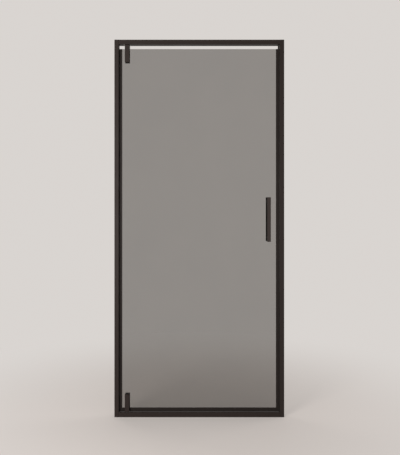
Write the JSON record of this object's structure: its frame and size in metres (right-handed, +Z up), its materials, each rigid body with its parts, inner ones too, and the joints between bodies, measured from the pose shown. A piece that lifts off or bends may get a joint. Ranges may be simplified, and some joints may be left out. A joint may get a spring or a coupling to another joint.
{
  "type": "pivot shower door",
  "caption": "Framed alcove pivot shower door: black aluminium frame, smoked glass leaf on inset top and bottom pivots, magnetic closing edge, back-to-back bar handles.",
  "frame": {"origin": "middle of the frame's foot on the tray, in the plane of the glass", "axes": "+Z up, +X from the hinge side to the strike side, -Y towards the room, +Y into the shower"},
  "size_m": [0.9, 0.082, 2],
  "materials": {
    "black_powder_coat": "matt black powder coat",
    "mill_aluminium": "mill finish",
    "smoked_glass": "toughened, grey tint, polished edges",
    "black_seal": "black soft PVC",
    "black_plastic": "fine satin",
    "white_acetal": "machined acetal",
    "clear_vinyl": "translucent vinyl",
    "grey_gasket": "fibre-reinforced rubber",
    "magnet_strip": "bonded ferrite",
    "stainless_steel": "passivated stainless",
    "black_steel": "black oxide"
  },
  "bodies": {
    "frame": {"hinge_wall_channel": "black_powder_coat", "strike_wall_channel": "black_powder_coat", "hinge_jamb": "black_powder_coat", "strike_jamb": "black_powder_coat", "hinge_jamb_cap": "black_plastic", "strike_jamb_cap": "black_plastic", "header_rail": "black_powder_coat", "sill_rail": "black_powder_coat", "corner_screws": "stainless_steel", "jamb_fixing_screws": "stainless_steel", "screw_snap_caps": "black_plastic", "strike_magnet_holder": "black_plastic", "strike_magnet": "magnet_strip", "closing_stop_strip": "black_powder_coat", "thrust_washer": "white_acetal", "top_pivot_housing": "mill_aluminium", "top_housing_screws": "stainless_steel", "top_pivot_bush": "white_acetal", "bottom_pivot_housing": "mill_aluminium", "bottom_housing_screws": "stainless_steel", "bottom_pivot_bush": "white_acetal"},
    "door": {"glass_panel": "smoked_glass", "hinge_edge_seal": "black_seal", "strike_edge_seal": "black_seal", "door_magnet": "magnet_strip", "bottom_drip_seal": "black_seal", "bottom_drip_seal_end": "black_seal", "outer_handle_bar": "black_powder_coat", "inner_handle_bar": "black_powder_coat", "outer_handle_posts": "black_powder_coat", "inner_handle_posts": "black_powder_coat", "handle_washers": "black_plastic", "handle_bushes": "black_plastic", "handle_studs": "stainless_steel", "handle_set_screws": "black_steel", "top_pivot_pin": "stainless_steel", "top_pin_set_screw": "black_steel", "top_pivot_body": "black_powder_coat", "top_pivot_clamp": "black_powder_coat", "top_front_gasket": "grey_gasket", "top_back_gasket": "grey_gasket", "top_clamp_screws": "black_steel", "top_clamp_bushes": "clear_vinyl", "bottom_pivot_pin": "stainless_steel", "bottom_pin_set_screw": "black_steel", "bottom_pivot_body": "black_powder_coat", "bottom_pivot_clamp": "black_powder_coat", "bottom_front_gasket": "grey_gasket", "bottom_back_gasket": "grey_gasket", "bottom_clamp_screws": "black_steel", "bottom_clamp_bushes": "clear_vinyl"}
  },
  "joints": [
    {"name": "door_swing", "type": "hinge", "parent": "frame", "child": "door", "pos_m": [-0.383, 0, 0], "axis": [0, 0, -1], "range_deg": [0, 90]}
  ]
}
